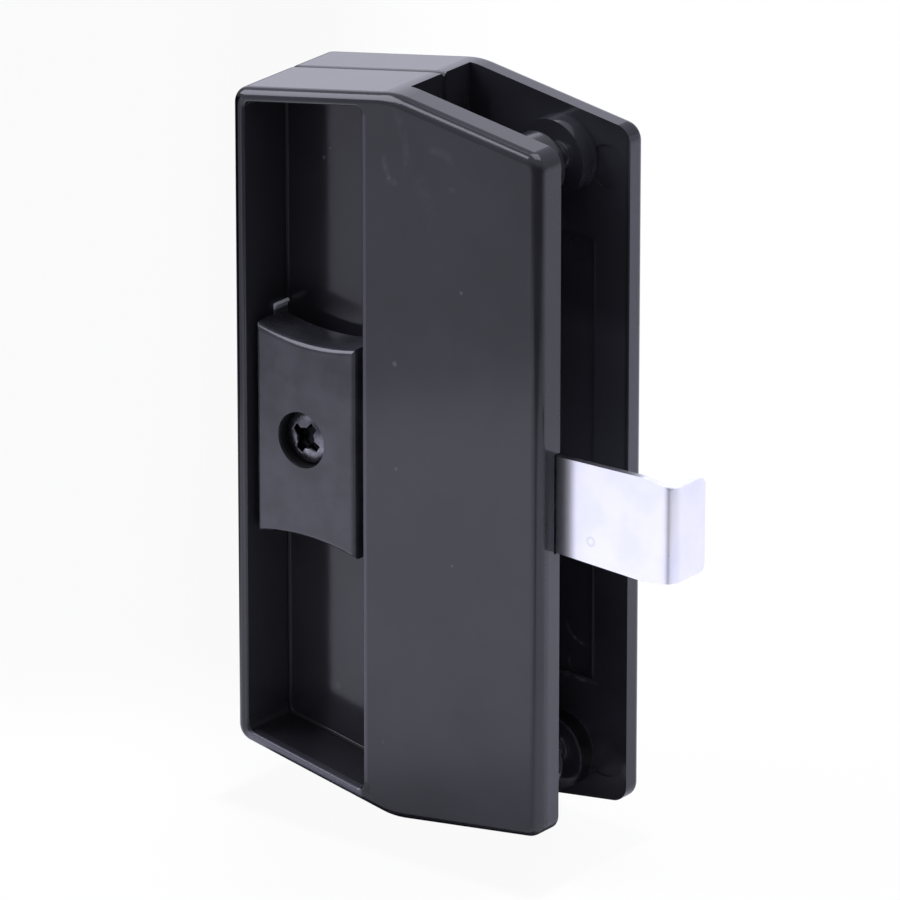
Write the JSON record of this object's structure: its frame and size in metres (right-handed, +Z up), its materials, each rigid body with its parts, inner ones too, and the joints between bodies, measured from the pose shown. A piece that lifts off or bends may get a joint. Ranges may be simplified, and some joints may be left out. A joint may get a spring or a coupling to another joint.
{
  "type": "sliding screen door latch and pull",
  "caption": "Screen door pull with two moulded housings that clamp the door stile, a finger cup and button on each side, and a sprung steel latch strip with a hooked end.",
  "frame": {"origin": "middle of the closed end of the slot that takes the door's edge, on the wall's face, halfway between the two plates and at mid height", "axes": "+X from the grip towards the latch's hook, +Y from the front plate to the back plate, +Z up"},
  "size_m": [0.075, 0.0212, 0.108],
  "materials": {
    "housing_plastic": "black moulded plastic, satin gloss",
    "button_plastic": "black moulded plastic, satin gloss",
    "block_plastic": "black moulded plastic, plain",
    "zinc_plated_steel": "bright zinc plating",
    "spring_steel": "bright spring steel",
    "zinc_plated_screw": "bright zinc plating",
    "black_steel": "black oxide"
  },
  "bodies": {
    "housing": {"front_housing": "housing_plastic", "back_housing": "housing_plastic", "leaf_spring": "spring_steel", "upper_mounting_screw": "zinc_plated_screw", "lower_mounting_screw": "zinc_plated_screw"},
    "latch": {"slide_block": "block_plastic", "latch_strip": "zinc_plated_steel", "front_button": "button_plastic", "back_button": "button_plastic", "button_screw": "black_steel"}
  },
  "joints": [
    {"name": "latch_slide", "type": "slide", "parent": "housing", "child": "latch", "axis": [1, 0, 0], "range_m": [-0.0005, 0.0015], "stiffness_N_per_m": 600}
  ]
}
